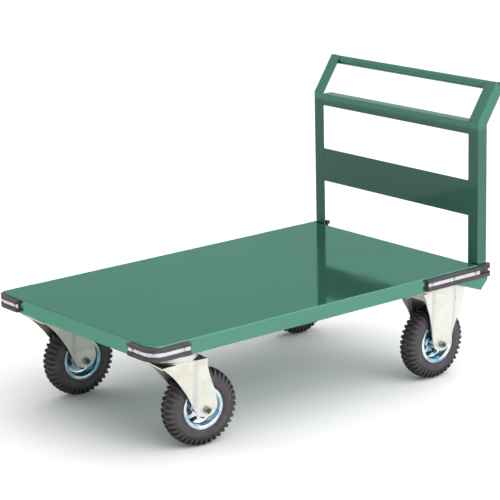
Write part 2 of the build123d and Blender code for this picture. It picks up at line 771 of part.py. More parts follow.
AXLE_PIECES = {"axle_bolt": axle_bolt, "axle_nut": axle_nut, "axle_spacers": axle_spacers}
for piece, build in AXLE_PIECES.items():
    plural = piece if piece.endswith("s") else piece + "s"
    with BuildPart() as rear_pair:
        build(wheel_plane("rear_left"))
        build(wheel_plane("rear_right"))
    save(rear_pair, f"rear_{plural}")
    for name in SIDES:
        with BuildPart() as front_piece:
            build(wheel_plane(f"front_{name}"))
        save(front_piece, f"front_{piece}_{name}")


# ---- wheels ----
def tyre_outline():
    """Tyre section: local x lateral, local y radial. Seated between the rim flanges."""
    bead = RIM_FACE - RIM_SHEET - 0.2
    seat = RIM_SEAT_R + 0.2
    right = [(bead - 1.5, seat), (bead, seat + 1.5), (bead, 62.0), (26.4, 63.4)]
    left = [(-x, r) for x, r in reversed(right)]
    shoulder = (27.2, 98.5)
    with BuildLine() as edge:
        Polyline(*right)
        ThreePointArc(right[-1], (TYRE_HALF_WIDTH, 81.0), shoulder)
        ThreePointArc(shoulder, (22.8, 106.2), (16.0, 109.6))
        ThreePointArc((16.0, 109.6), (0, WHEEL_R), (-16.0, 109.6))
        ThreePointArc((-16.0, 109.6), (-22.8, 106.2), (-shoulder[0], shoulder[1]))
        ThreePointArc((-shoulder[0], shoulder[1]), (-TYRE_HALF_WIDTH, 81.0), left[0])
        Polyline(*left)
        Line(left[-1], right[0])
    make_face(edge.line.edges())


def rim_outline(side):
    """Section of one pressed rim half: hub sleeve, web, seat and flange."""
    inner = RIM_SEAT_R - RIM_SHEET
    hub = BEARING_R + RIM_SHEET
    flange = RIM_FACE - RIM_SHEET
    points = [
        (0.05, BEARING_R + 0.01),
        (HUB_END, BEARING_R + 0.01),
        (HUB_END, hub),
        (RIM_SHEET + 2, hub + 1),
        (RIM_SHEET, hub + 4),
        (RIM_SHEET, inner - 4),
        (RIM_SHEET + 4, inner),
        (flange, inner),
        (RIM_FACE, inner + 2.5),
        (RIM_FACE, RIM_LIP_R - 0.8),
        (RIM_FACE - 0.8, RIM_LIP_R),
        (flange + 0.4, RIM_LIP_R),
        (flange, RIM_LIP_R - 0.4),
        (flange, RIM_SEAT_R + 1.2),
        (flange - 1.2, RIM_SEAT_R),
        (RIM_SHEET + 1.6, RIM_SEAT_R),
        (0.05, inner - 3),
    ]
    with BuildLine() as edge:
        Polyline(*[(side * x, r) for x, r in points], close=True)
    make_face(edge.line.edges())


def valve_plane(plane, corner):
    """Plane at the root of the valve stem, facing along the stem towards the hub."""
    turn = radians(VALVE_ANGLE[corner])
    radial = cos(turn) * plane.x_dir + sin(turn) * plane.y_dir
    start = plane.origin + STEM_START[1] * radial - STEM_START[0] * plane.z_dir
    tilt = radians(STEM_LEAN)
    return Plane(origin=start, z_dir=-cos(tilt) * radial + sin(tilt) * plane.z_dir)


def rim_bolt_places():
    return PolarLocations(RIM_BOLT_CIRCLE, 4, start_angle=RIM_BOLT_TURN)


for corner in VALVE_ANGLE:
    plane = wheel_plane(corner)
    section = axle_section(plane)
    spin = Axis(plane.origin, plane.z_dir)
    stem = valve_plane(plane, corner)

    with BuildPart() as tyre:
        with BuildSketch(section):
            tyre_outline()
            with Locations((0, 80)):
                Ellipse(24.8, 23.2, mode=Mode.SUBTRACT)
            with Locations((0, 50)):
                Rectangle(30, 20, mode=Mode.SUBTRACT)
        revolve(axis=spin)
    save(tyre, f"tyre_{corner}")

    with BuildPart() as inner_tube:
        with BuildSketch(section):
            with Locations((0, 80)):
                Ellipse(24.6, 23.0)
                Ellipse(22.6, 21.0, mode=Mode.SUBTRACT)
        revolve(axis=spin)
        with BuildSketch(stem):
            Circle(STEM_R)
        extrude(amount=STEM_LENGTH)
    save(inner_tube, f"inner_tube_{corner}")

    with BuildPart() as rim_halves:
        for side in (-1, 1):
            with BuildSketch(section):
                rim_outline(side)
            revolve(axis=spin)
        with BuildSketch(plane.offset(-10)):
            with rim_bolt_places():
                Circle(RIM_BOLT_R + 0.2)
        extrude(amount=20, mode=Mode.SUBTRACT)
        with BuildSketch(stem):
            Circle(STEM_R + 0.2)
        extrude(amount=STEM_LENGTH, mode=Mode.SUBTRACT)
    save(rim_halves, f"rim_halves_{corner}")

    with BuildPart() as rim_bolts:
        web_face = RIM_SHEET + SEAT_GAP
        for low, high in ((web_face, RIM_BOLT_HEAD), (-web_face, -RIM_BOLT_HEAD - 1)):
            with BuildSketch(plane.offset(low)):
                with rim_bolt_places():
                    RegularPolygon(RIM_BOLT_ACROSS / 2, 6, major_radius=False)
            extrude(amount=high)
        with BuildSketch(plane.offset(-12)):
            with rim_bolt_places():
                Circle(RIM_BOLT_R)
        extrude(amount=14)
    save(rim_bolts, f"rim_bolts_{corner}")

    with BuildPart() as wheel_bearings:
        for side in (-1, 1):
            with BuildSketch(plane.offset(side * HUB_END)):
                Circle(BEARING_R)
                Circle(AXLE_R + RUNNING_GAP, mode=Mode.SUBTRACT)
            extrude(amount=-side * BEARING_WIDTH)
        inner_half_length = HUB_END - BEARING_WIDTH - SEAT_GAP
        with BuildSketch(plane.offset(-inner_half_length)):
            Circle(SLEEVE_R)
            Circle(AXLE_R + RUNNING_GAP, mode=Mode.SUBTRACT)
        extrude(amount=2 * inner_half_length)
    save(wheel_bearings, f"wheel_bearings_{corner}")
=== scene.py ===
import bmesh
import bpy
import json
import math
import random
from mathutils import Matrix, Vector


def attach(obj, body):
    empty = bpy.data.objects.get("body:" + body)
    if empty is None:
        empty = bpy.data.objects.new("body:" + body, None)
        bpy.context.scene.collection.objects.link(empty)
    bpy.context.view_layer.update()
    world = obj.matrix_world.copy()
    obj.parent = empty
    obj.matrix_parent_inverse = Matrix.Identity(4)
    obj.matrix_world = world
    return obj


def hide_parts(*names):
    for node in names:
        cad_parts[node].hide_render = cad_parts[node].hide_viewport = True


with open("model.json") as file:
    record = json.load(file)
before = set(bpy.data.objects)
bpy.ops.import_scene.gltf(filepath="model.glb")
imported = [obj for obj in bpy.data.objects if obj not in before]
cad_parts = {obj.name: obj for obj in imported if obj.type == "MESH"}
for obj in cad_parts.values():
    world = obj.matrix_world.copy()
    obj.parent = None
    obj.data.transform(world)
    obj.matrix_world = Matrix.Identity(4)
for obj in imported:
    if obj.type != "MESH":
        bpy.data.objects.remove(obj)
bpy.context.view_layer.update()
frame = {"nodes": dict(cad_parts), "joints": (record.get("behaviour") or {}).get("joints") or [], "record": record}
NODES = frame["nodes"]
BODY_OF = {n: b for b, ns in frame["record"]["behaviour"]["bodies"].items() for n in ns}
SLOT_OF = {s["node"]: s["material_slot"] for s in frame["record"]["subparts"]}
JOINTS = {j["name"]: j for j in frame["joints"]}
SIDES = ("left", "right")
ENDS = ("front", "rear")
CORNERS = tuple(f"{end}_{side}" for end in ENDS for side in SIDES)
MM = 0.001
rng = random.Random(7)


# ---------------------------------------------------------------- materials
def linear(r, g, b):
    """Display colour, 0 to 255, to the linear value a shader takes."""
    out = []
    for v in (r, g, b):
        v /= 255
        out.append(v / 12.92 if v <= 0.04045 else ((v + 0.055) / 1.055) ** 2.4)
    return (*out, 1.0)


def grey(value):
    return (value, value, value, 1.0)


# Samples of the ambient occlusion that drives the painted shade in recesses.
RECESS_SHADE_SAMPLES = 8


class Shader:
    """A Principled material with object-space noise and bump chains."""

    def __init__(self, name):
        self.mat = bpy.data.materials.new(name)
        self.mat.use_nodes = True
        self.tree = self.mat.node_tree
        self.bsdf = self.tree.nodes["Principled BSDF"]
        self.coords = self.tree.nodes.new("ShaderNodeTexCoord")
        self.normal = None

    def set(self, **values):
        names = {
            "rough": "Roughness", "metal": "Metallic",
            "spec": "Specular IOR Level", "edge": "Specular Tint",
        }
        for key, value in values.items():
            self.bsdf.inputs[names[key]].default_value = value

    def stretch(self, scale):
        node = self.tree.nodes.new("ShaderNodeMapping")
        node.inputs["Scale"].default_value = scale
        self.tree.links.new(self.coords.outputs["Object"], node.inputs["Vector"])
        return node.outputs["Vector"]

    def noise(self, scale, detail=3.0, rough=0.5, warp=0.0, vector=None):
        node = self.tree.nodes.new("ShaderNodeTexNoise")
        node.inputs["Scale"].default_value = scale
        node.inputs["Detail"].default_value = detail
        node.inputs["Roughness"].default_value = rough
        node.inputs["Distortion"].default_value = warp
        self.tree.links.new(vector or self.coords.outputs["Object"], node.inputs["Vector"])
        return node.outputs["Fac"]

    def ramp(self, value, stops):
        node = self.tree.nodes.new("ShaderNodeValToRGB")
        ramp = node.color_ramp
        while len(ramp.elements) < len(stops):
            ramp.elements.new(0.5)
        for element, (place, colour) in zip(ramp.elements, stops):
            element.position = place
            element.color = colour
        self.tree.links.new(value, node.inputs["Fac"])
        return node.outputs["Color"]

    def span(self, value, low, high, start=0.3, end=0.7):
        """Map a value between start and end onto low to high."""
        node = self.tree.nodes.new("ShaderNodeMapRange")
        node.inputs["From Min"].default_value = start
        node.inputs["From Max"].default_value = end
        node.inputs["To Min"].default_value = low
        node.inputs["To Max"].default_value = high
        self.tree.links.new(value, node.inputs["Value"])
        return node.outputs["Result"]

    def mix(self, factor, a, b, how="MIX"):
        """Blend two colours; each input is a socket or a plain value."""
        node = self.tree.nodes.new("ShaderNodeMix")
        node.data_type = "RGBA"
        node.blend_type = how
        for socket, value in ((node.inputs[0], factor), (node.inputs[6], a), (node.inputs[7], b)):
            if isinstance(value, bpy.types.NodeSocket):
                self.tree.links.new(value, socket)
            else:
                socket.default_value = value
        return node.outputs[2]

    def product(self, a, b):
        """Two colours or masks multiplied."""
        return self.mix(1.0, a, b, "MULTIPLY")

    def recess_shade(self, colour, dark, reach, low, high):
        """Painted shade: darken a colour in the recesses, where the nearby parts keep the light out."""
        node = self.tree.nodes.new("ShaderNodeAmbientOcclusion")
        node.samples = RECESS_SHADE_SAMPLES
        node.inputs["Distance"].default_value = reach
        openness = self.span(node.outputs["AO"], 0.0, 1.0, low, high)
        return self.mix(openness, dark, colour)

    def colour(self, socket):
        self.tree.links.new(socket, self.bsdf.inputs["Base Color"])

    def place(self, axis):
        """Coordinate of the point at rest along X, Y or Z, in metres."""
        node = self.tree.nodes.new("ShaderNodeSeparateXYZ")
        self.tree.links.new(self.coords.outputs["Object"], node.inputs[0])
        return node.outputs[axis]

    def band(self, value, low, high, soft=0.005):
        """1 between low and high, fading to 0 on both sides."""
        rise = self.span(value, 0.0, 1.0, low - soft, low)
        fall = self.span(value, 1.0, 0.0, high, high + soft)
        return self.product(rise, fall)

    def metallic(self, socket):
        self.tree.links.new(socket, self.bsdf.inputs["Metallic"])

    def roughness(self, socket):
        self.tree.links.new(socket, self.bsdf.inputs["Roughness"])

    def bump(self, height, depth, strength=1.0):
        node = self.tree.nodes.new("ShaderNodeBump")
        node.inputs["Distance"].default_value = depth
        node.inputs["Strength"].default_value = strength
        self.tree.links.new(height, node.inputs["Height"])
        if self.normal:
            self.tree.links.new(self.normal, node.inputs["Normal"])
        self.normal = node.outputs["Normal"]
        self.tree.links.new(self.normal, self.bsdf.inputs["Normal"])


# Heights above the floor, in metres, over which the gloss changes and the painted shade sets in,
# from deck to handle uprights and from the uprights to the leaning arms.
DECK_TO_UPRIGHTS = (0.338, 0.346)
UPRIGHTS_TO_ARMS = (0.738, 0.752)
DECK_GLOSS, UPRIGHT_GLOSS, ARM_GLOSS = grey(0.74), grey(0.04), grey(0.4)
# Painted shade laid over the handle paint: the uprights darkest, the arms less.
UPRIGHT_SHADE, ARM_SHADE = (0.56, 0.52, 0.52, 1), grey(0.78)
PAINT_EDGE = (0.48, 0.76, 0.69, 1)


def enamel(name, base, shade, light, rough=0.07):
    """Glossy sprayed enamel: slow tone drift, faint orange peel, haze in the gloss.

    The deck has a mirror-like gloss; the handle above it is duller and darkened by painted shade, more on the
    uprights than on the arms.
    """
    s = Shader(name)
    s.set(spec=0.25, edge=PAINT_EDGE)
    above_deck = s.span(s.place("Z"), 0.0, 1.0, *DECK_TO_UPRIGHTS)
    in_arms = s.span(s.place("Z"), 0.0, 1.0, *UPRIGHTS_TO_ARMS)
    drift = s.noise(2.2, detail=4, rough=0.55)
    paint = s.ramp(drift, [(0.30, shade), (0.52, base), (0.75, light)])
    # Painted shade: above the deck the paint is multiplied down, most on the uprights, less on the arms.
    handle = s.mix(in_arms, s.product(paint, UPRIGHT_SHADE), s.product(paint, ARM_SHADE))
    s.colour(s.mix(above_deck, paint, handle))
    s.metallic(s.mix(above_deck, DECK_GLOSS, s.mix(in_arms, UPRIGHT_GLOSS, ARM_GLOSS)))
    s.roughness(s.span(s.noise(7, detail=5, rough=0.6), rough - 0.02, rough + 0.06))
    s.bump(s.noise(420, detail=2), depth=0.00005, strength=0.18)
    return s.mat


# Painted shade: the near-black colours that the recesses of rubber and forks are darkened to.
RUBBER_RECESS_SHADE = (0.012, 0.010, 0.008, 1)
FORK_RECESS_SHADE = (0.030, 0.024, 0.016, 1)


def rubber(name, base, dusty, rough=0.55, grain=900):
    """Moulded rubber: dusty patches, fine grain, and painted shade that turns it nearly black in the recesses."""
    s = Shader(name)
    s.set(spec=0.35)
    patch = s.noise(28, detail=5, rough=0.6)
    dusted = s.ramp(patch, [(0.35, base), (0.72, dusty)])
    # Painted shade: ambient occlusion darkens the recesses towards near black.
    s.colour(s.recess_shade(dusted, RUBBER_RECESS_SHADE, reach=0.16, low=0.15, high=0.75))
    s.roughness(s.span(s.noise(60, detail=4, rough=0.6), rough - 0.08, rough + 0.12))
    s.bump(s.noise(grain, rough=0.6), depth=0.00025, strength=0.5)
    return s.mat


# The press folds down the fork legs, as distances from the axle along the trolley; each gets a painted reflection,
# a darker bluish band.
FOLD_REFLECTION_TONE, FOLD_REFLECTION_WEIGHT = linear(158, 170, 178), grey(0.36)
FORK_FOLDS = [
    (JOINTS[joint]["pos_m"][0] + start, JOINTS[joint]["pos_m"][0] + end)
    for joint, start, end in (
        ("wheel_front_left_spin", -0.044, -0.036),
        ("wheel_rear_left_spin", -0.041, -0.034),
        ("wheel_rear_left_spin", 0.044, 0.051),
    )
]
DRAW_MARKS = (40, 40, 900)  # the marks run level, so they are packed tight along Z


def plated(name, base, tint, metal=0.85, rough=0.32, scale=26.0, tint_from=0.45, tint_to=0.75,
           fork=False):
    """Zinc plating: clouded colour, fine grain, draw marks; forks add a painted reflection along the folds and
    painted shade in the recesses.
    """
    s = Shader(name)
    s.set(metal=metal, spec=0.5)
    cloud = s.noise(scale, detail=4, rough=0.6, warp=0.6)
    zinc = s.ramp(cloud, [(tint_from, base), (tint_to, tint)])
    if fork:
        # Painted reflection: a darker bluish band along each press fold.
        for low, high in FORK_FOLDS:
            zinc = s.mix(s.product(s.band(s.place("X"), low, high), FOLD_REFLECTION_WEIGHT), zinc, FOLD_REFLECTION_TONE)
        # Painted shade: dark brown in the recesses between the legs, the crown and the tyre.
        zinc = s.recess_shade(zinc, FORK_RECESS_SHADE, reach=0.11, low=0.20, high=0.64)
    s.colour(zinc)
    s.roughness(s.span(s.noise(70, detail=4, rough=0.6), rough - 0.07, rough + 0.12))
    s.bump(s.noise(1400, detail=2), depth=0.00006, strength=0.4)
    s.bump(s.noise(1.0, vector=s.stretch(DRAW_MARKS)), depth=0.00004, strength=0.35)
    return s.mat


GREEN = (0.092, 0.256, 0.191, 1)
GREEN_SHADE = (0.086, 0.243, 0.181, 1)
GREEN_LIGHT = (0.099, 0.268, 0.201, 1)
MATERIALS = {
    "green_paint": enamel("green_enamel", GREEN, GREEN_SHADE, GREEN_LIGHT),
    "bumper_rubber": rubber("bumper_rubber", linear(62, 55, 60), linear(78, 72, 77), 0.5),
    "bright_strip": plated(
        "bright_strip", linear(214, 214, 220), linear(196, 198, 208),
        metal=0.75, rough=0.26, scale=40,
    ),
    "bright_screws": plated(
        "screw_zinc", linear(205, 205, 210), linear(170, 172, 178),
        metal=0.9, rough=0.25, scale=300,
    ),
    "plated_steel": plated(
        "fork_zinc", linear(215, 216, 209), linear(203, 197, 178), metal=0.55, rough=0.36, scale=18,
        fork=True,
    ),
    "nut_zinc": plated(
        "nut_zinc", linear(150, 156, 148), linear(110, 112, 104), metal=0.8, rough=0.34, scale=200,
    ),
    "rim_zinc": plated(
        "rim_zinc", linear(224, 233, 238), linear(100, 168, 192), metal=0.9, rough=0.16, scale=17,
        tint_from=0.42, tint_to=0.66,
    ),
    "axle_steel": plated(
        "axle_steel", linear(92, 92, 92), linear(60, 60, 62), rough=0.34, scale=200,
    ),
    "bearing_steel": plated(
        "bearing_steel", linear(190, 190, 192), linear(160, 160, 164),
        metal=0.95, rough=0.2, scale=200,
    ),
    "tyre_rubber": rubber("tyre_rubber", linear(62, 59, 62), linear(80, 77, 79), 0.62, 700),
    "tube_rubber": rubber("tube_rubber", linear(30, 30, 31), linear(44, 43, 44), 0.5, 700),
}


def dress(obj, slot_name):
    obj.data.materials.clear()
    obj.data.materials.append(MATERIALS[slot_name])


for node_name, node_obj in NODES.items():
    dress(node_obj, SLOT_OF[node_name])


# ---------------------------------------------------------------- mesh helpers
def new_object(name, mesh, body, slot_name, replaces=()):
    obj = bpy.data.objects.new(name, mesh)
    bpy.context.scene.collection.objects.link(obj)
    dress(obj, slot_name)
    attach(obj, body)
    if replaces:
        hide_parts(*replaces)
    return obj


def smooth(mesh, angle):
    for polygon in mesh.polygons:
        polygon.use_smooth = True
    mesh.set_sharp_from_angle(angle=math.radians(angle))


def finished(bm, name, body, slot_name, replaces, angle):
    """Turn a bmesh into a piece with outward normals and smooth shading."""
    bmesh.ops.recalc_face_normals(bm, faces=bm.faces)
    mesh = bpy.data.meshes.new(name)
    bm.to_mesh(mesh)
    bm.free()
    smooth(mesh, angle)
    return new_object(name, mesh, body, slot_name, replaces)


def ring(bm, points):
    return [bm.verts.new(p) for p in points]


def skin(bm, rows, closed=False):
    """Faces between rings of vertices; a closed skin joins the last ring to the first."""
    pairs = list(zip(rows, rows[1:])) + ([(rows[-1], rows[0])] if closed else [])
    for a, b in pairs:
        for j in range(len(a)):
            k = (j + 1) % len(a)
            bm.faces.new((a[j], a[k], b[k], b[j]))


def cap(bm, rows):
    """Close both ends of a row of rings."""
    bm.faces.new(rows[0])
    bm.faces.new(rows[-1][::-1])


def angles(steps):
    """Evenly spaced angles round a full turn."""
    return [math.tau * i / steps for i in range(steps)]


def add_bevel(obj, width, segments, angle):
    bevel = obj.modifiers.new("bevel", "BEVEL")
    bevel.width = width * MM
    bevel.segments = segments
    bevel.limit_method = "ANGLE"
    bevel.angle_limit = math.radians(angle)
    return bevel


CREASE, FORK_CREASE = 28, 9  # degrees between faces that still count as an edge
WELD_DISTANCE, FLAT_ANGLE = 2e-6, math.radians(0.6)


def softened(node, width):
    """A copy of a CAD node with its flat faces joined up and every edge rounded."""
    bm = bmesh.new()
    bm.from_mesh(NODES[node].data)
    bmesh.ops.remove_doubles(bm, verts=bm.verts, dist=WELD_DISTANCE)
    bmesh.ops.dissolve_limit(
        bm, angle_limit=FLAT_ANGLE, verts=bm.verts, edges=bm.edges, delimit=set()
    )
    mesh = bpy.data.meshes.new(node + "_soft")
    bm.to_mesh(mesh)
    bm.free()
    smooth(mesh, FORK_CREASE if "fork" in node else CREASE)
    obj = new_object(node + ".soft", mesh, BODY_OF[node], SLOT_OF[node], (node,))
    bevel = add_bevel(obj, width, 3 if width > 2 else 2, CREASE)
    bevel.harden_normals = True
    bevel.use_clamp_overlap = True


# ---------------------------------------------------------------- wheels
def wheel_matrix(corner):
    """Wheel frame at rest: x away from the nose, y along the spin axis, z up."""
    joint = JOINTS[f"wheel_{corner}_spin"]
    axis = Vector(joint["axis"]).normalized()
    ahead = axis.cross(Vector((0, 0, 1)))
    turn = Matrix((ahead, axis, Vector((0, 0, 1)))).transposed().to_4x4()
    return Matrix.Translation(Vector(joint["pos_m"])) @ turn


def ring_point(lateral, radial, angle):
    return Vector((radial * math.cos(angle), lateral, radial * math.sin(angle))) * MM


def lathe(bm, profile, matrix, steps):
    """Closed ring made by turning a closed profile of (lateral, radial) points."""
    rows = [
        ring(bm, (matrix @ ring_point(y, r, angle) for y, r in profile)) for angle in angles(steps)
    ]
    skin(bm, rows, closed=True)


def arc(points, steps=6):
    """Points on a smooth curve through the given ones (Catmull-Rom)."""
    out = []
    for i in range(len(points) - 1):
        p0 = points[max(i - 1, 0)]
        p1, p2 = points[i], points[i + 1]
        p3 = points[min(i + 2, len(points) - 1)]
        for s in range(steps):
            t = s / steps
            out.append(tuple(
                0.5 * (2 * b + (c - a) * t + (2 * a - 5 * b + 4 * c - d) * t * t
                       + (3 * b - a - 3 * c + d) * t ** 3)
                for a, b, c, d in zip(p0, p1, p2, p3)
            ))
    out.append(tuple(points[-1]))
    return out


# Half sections as (lateral, radial) points in millimetres, from the bead out to the tread.
BEAD = [(22.6, 52.8), (24.2, 54.2)]
CARCASS = arc([
    (24.4, 62.2), (26.2, 64.0), (28.0, 67.4), (28.5, 68.2), (29.2, 68.6), (29.6, 70.0),
    (29.3, 71.2), (30.0, 76.0), (30.3, 81.0), (29.8, 85.5), (27.2, 91.0), (24.0, 96.4),
    (19.8, 101.0), (14.2, 104.4), (8.0, 106.4), (0.0, 107.2),
], 3)
# Shoulder blocks: their top and their foot, sunk a little into the carcass.
LUG_OUTER = [(29.4, 90.5), (28.3, 95.0), (26.9, 99.2), (24.8, 103.4), (22.2, 106.7),
             (18.5, 108.8), (14.2, 110.1), (10.4, 110.9)]
LUG_INNER = [(26.6, 89.6), (24.6, 92.6), (22.6, 95.6), (20.2, 98.4), (17.8, 100.6),
             (15.2, 102.4), (12.0, 103.8), (9.4, 104.6)]
# Inner face of the tyre, from under the tread back to the bead.
LINING = [
    (0.0, 102.6), (15.0, 99.0), (23.4, 88.0), (24.0, 76.0),
    (20.5, 65.0), (15.2, 57.5), (15.0, 52.8),
]
CENTRE_OUTER = [(-6.2, 111.4), (-2.0, 111.9), (2.0, 111.9), (6.2, 111.4)]
CENTRE_INNER = [(-6.8, 105.6), (-2.2, 106.0), (2.2, 106.0), (6.8, 105.6)]
LUGS = 40
PITCH = math.tau / LUGS
# Half widths of the blocks at the top and at the foot.
SHOULDER_TOP, SHOULDER_FOOT = 0.23 * PITCH, 0.30 * PITCH
CENTRE_TOP, CENTRE_FOOT = 0.20 * PITCH, 0.26 * PITCH
CENTRE_PHASE, CENTRE_SKEW = 0.75 * PITCH, 0.24 * PITCH
BLOCK_ROUNDING = 0.7
TYRE_STEPS, RIM_STEPS = 168, 128
TYRE_CREASE, BLOCK_CREASE, RIM_CREASE = 32, 40, 40


def lug(bm, matrix, side, centre, outer, inner, half_out, half_in, skew=0.0):
    """One tread block: a tapered bar that follows the section of the tyre."""
    rows = []
    last = len(outer) - 1
    for i, (o, n) in enumerate(zip(outer, inner)):
        shift = centre + skew * i / last
        corners = ((n, -half_in), (o, -half_out), (o, half_out), (n, half_in))
        points = (matrix @ ring_point(side * y, r, shift + a) for (y, r), a in corners)
        rows.append(ring(bm, points))
    skin(bm, rows)
    cap(bm, rows)


def mirrored(points):
    return [(-y, r) for y, r in reversed(points)]


def build_tyre(corner):
    """Carcass with a lining and three rows of tread blocks."""
    matrix = wheel_matrix(corner)
    start = rng.uniform(0, PITCH)
    bm = bmesh.new()
    outside = [*BEAD, *CARCASS, *mirrored(CARCASS[:-1]), *mirrored(BEAD)]
    inside = [*mirrored(LINING), *LINING[1:]]
    lathe(bm, outside + inside, matrix, TYRE_STEPS)
    for i in range(LUGS):
        for side, phase in ((-1, 0.0), (1, 0.5)):
            at = start + (i + phase) * PITCH
            lug(bm, matrix, side, at, LUG_OUTER, LUG_INNER, SHOULDER_TOP, SHOULDER_FOOT)
        at = start + i * PITCH + CENTRE_PHASE - CENTRE_SKEW / 2
        lug(bm, matrix, 1, at, CENTRE_OUTER, CENTRE_INNER, CENTRE_TOP, CENTRE_FOOT, CENTRE_SKEW)
    name = "tread_" + corner
    obj = finished(bm, name, "wheel_" + corner, "tyre_rubber", ("tyre_" + corner,), TYRE_CREASE)
    add_bevel(obj, BLOCK_ROUNDING, 2, BLOCK_CREASE)


# Closed section of one rim half: hub, disc, well, flange with its rolled lip, and back underneath.
RIM = [
    (0.1, 16.1), (28.8, 16.1), (29.0, 16.4), (29.0, 18.0), (28.6, 18.4), (9.0, 18.4), (6.2, 19.2),
    (4.0, 21.4), (2.6, 24.5), (2.42, 27.0), (2.42, 41.0), (2.9, 44.0), (4.2, 47.0), (6.4, 49.2),
    (9.0, 50.0), (20.0, 50.0), (23.0, 50.3), (25.4, 51.4), (26.7, 53.4), (27.0, 56.0), (27.0, 60.4),
    (26.8, 61.6), (26.2, 62.2), (25.6, 62.3), (25.0, 62.1), (24.65, 61.4), (24.6, 60.4),
    (24.6, 55.6), (24.2, 53.8), (22.8, 52.6), (20.0, 52.4), (8.0, 52.4), (4.4, 51.2),
    (1.6, 48.6), (0.3, 45.5), (0.1, 42.0),
]


def build_rim(corner):
    """The two pressed halves of the rim."""
    matrix = wheel_matrix(corner)
    for side, label in ((-1, "outer"), (1, "inner")):
        bm = bmesh.new()
        lathe(bm, [(side * y, r) for y, r in RIM], matrix, RIM_STEPS)
        name = f"rim_{label}_{corner}"
        finished(bm, name, "wheel_" + corner, "rim_zinc", ("rim_halves_" + corner,), RIM_CREASE)


for wheel in CORNERS:
    build_tyre(wheel)
    build_rim(wheel)

# ---------------------------------------------------------------- axles, nuts and valves
# All in millimetres; lateral places are measured from the middle of the wheel.
LEG_FACE = 44.0  # outer face of a fork leg
NUT_ACROSS, NUT_DEPTH, HEAD_DEPTH = 19.0, 10.8, 7.5
AXLE_R, AXLE_TIP = 6.0, 61.0
THREAD_PITCH, THREAD_DEPTH = 1.75, 0.9
THREAD_START, THREAD_RUN_OUT, THREAD_ROWS = 31.0, 1.2, 6
SHANK_HEAD_END, SHANK_THREAD_END = 44.5, -30.0
TIP_TAPER = ((1.0, 0.6), (0.0, 1.5))  # (distance before the tip, how much thinner)
CLEARANCE = 0.05  # keeps touching faces apart
CHAMFER = (0.0, 0.25, 0.5, 0.8, 1.2)
CHAMFER_SLOPE, CORNER_CUT = 1.5, 0.3


def hex_radius(angle, across):
    """Distance from the centre of a hexagon to its edge."""
    half_flat = math.pi / 6
    return across / 2 / math.cos((angle + half_flat) % (2 * half_flat) - half_flat)


def hexagon(bm, matrix, across, low, high, bore=0.0, steps=72):
    """Hexagon between two lateral positions with both ends chamfered, bored if asked."""
    depth = abs(high - low)
    sense = 1 if high > low else -1
    rows = []
    for along in (*CHAMFER, *(depth - c for c in reversed(CHAMFER))):
        ease = across / 2 - CORNER_CUT + CHAMFER_SLOPE * min(along, depth - along)
        rows.append(ring(bm, (
            matrix @ ring_point(low + sense * along, min(hex_radius(angle, across), ease), angle)
            for angle in angles(steps)
        )))
    if bore:
        for lateral in (high, low):
            points = (matrix @ ring_point(lateral, bore, angle) for angle in angles(steps))
            rows.append(ring(bm, points))
    else:
        cap(bm, rows)
    skin(bm, rows, closed=bool(bore))


def add_axle(bm, matrix, steps=40):
    """Axle bolt: hexagon head, plain shank, then a rolled thread with a tapered tip."""
    hexagon(bm, matrix, NUT_ACROSS, LEG_FACE + CLEARANCE, LEG_FACE + HEAD_DEPTH)
    turns = int((AXLE_TIP - THREAD_RUN_OUT - THREAD_START) / THREAD_PITCH * THREAD_ROWS)
    stations = [(SHANK_HEAD_END, AXLE_R), (SHANK_THREAD_END, AXLE_R)]
    stations += [(-THREAD_START - i * THREAD_PITCH / THREAD_ROWS, None) for i in range(turns)]
    stations += [(-AXLE_TIP + before, AXLE_R - less) for before, less in TIP_TAPER]
    rows = []
    for lateral, radius in stations:
        row = []
        for angle in angles(steps):
            r = radius
            if r is None:
                phase = (-lateral / THREAD_PITCH + angle / math.tau) % 1.0
                r = AXLE_R - THREAD_DEPTH * (1 - abs(2 * phase - 1))
            row.append(bm.verts.new(matrix @ ring_point(lateral, r, angle)))
        rows.append(row)
    skin(bm, rows)
    cap(bm, rows)


def add_nut(bm, matrix):
    near, far = -LEG_FACE - CLEARANCE, -LEG_FACE - NUT_DEPTH
    hexagon(bm, matrix, NUT_ACROSS, near, far, AXLE_R + CLEARANCE)


HARDWARE_CREASE = 30


def add_hardware(build, wheels, name, body, slot_name, cad_node):
    """One piece with a bolt or a nut on the axle of every given wheel."""
    bm = bmesh.new()
    for wheel in wheels:
        build(bm, wheel_matrix(wheel))
    finished(bm, name, body, slot_name, (cad_node,), HARDWARE_CREASE)


for build, kind, slot_name in ((add_axle, "bolt", "axle_steel"), (add_nut, "nut", "nut_zinc")):
    for side in SIDES:
        name, cad_node = f"axle_{kind}_front_{side}", f"front_axle_{kind}_{side}"
        add_hardware(build, ["front_" + side], name, "swivel_" + side, slot_name, cad_node)
    name, cad_node = f"axle_{kind}s_rear", f"rear_axle_{kind}s"
    add_hardware(build, ["rear_left", "rear_right"], name, "chassis", slot_name, cad_node)

# Valves: angle round the wheel, then where and how the stem leaves the well of the rim.
VALVE_ANGLE = {"front_left": 225.0, "front_right": 100.0, "rear_left": 225.0, "rear_right": 140.0}
STEM_LATERAL, STEM_RADIAL, STEM_ADVANCE = -3.5, 58.5, 8.0
STEM_LEAN = math.radians(40)
# (distance along the stem, radius): rubber foot, stem, neck and cap.
STEM_PROFILE = [
    (0.0, 6.9), (1.2, 7.0), (2.2, 6.7), (3.4, 6.0), (5.0, 5.75), (16.0, 5.7), (18.0, 5.6),
    (18.8, 5.0),
    (19.2, 4.4), (20.0, 4.3), (20.4, 4.6), (25.0, 4.6), (26.0, 4.2), (26.4, 3.2),
]
CAP_RIBS, CAP_RIB_DEPTH = (20.2, 25.5), 0.35


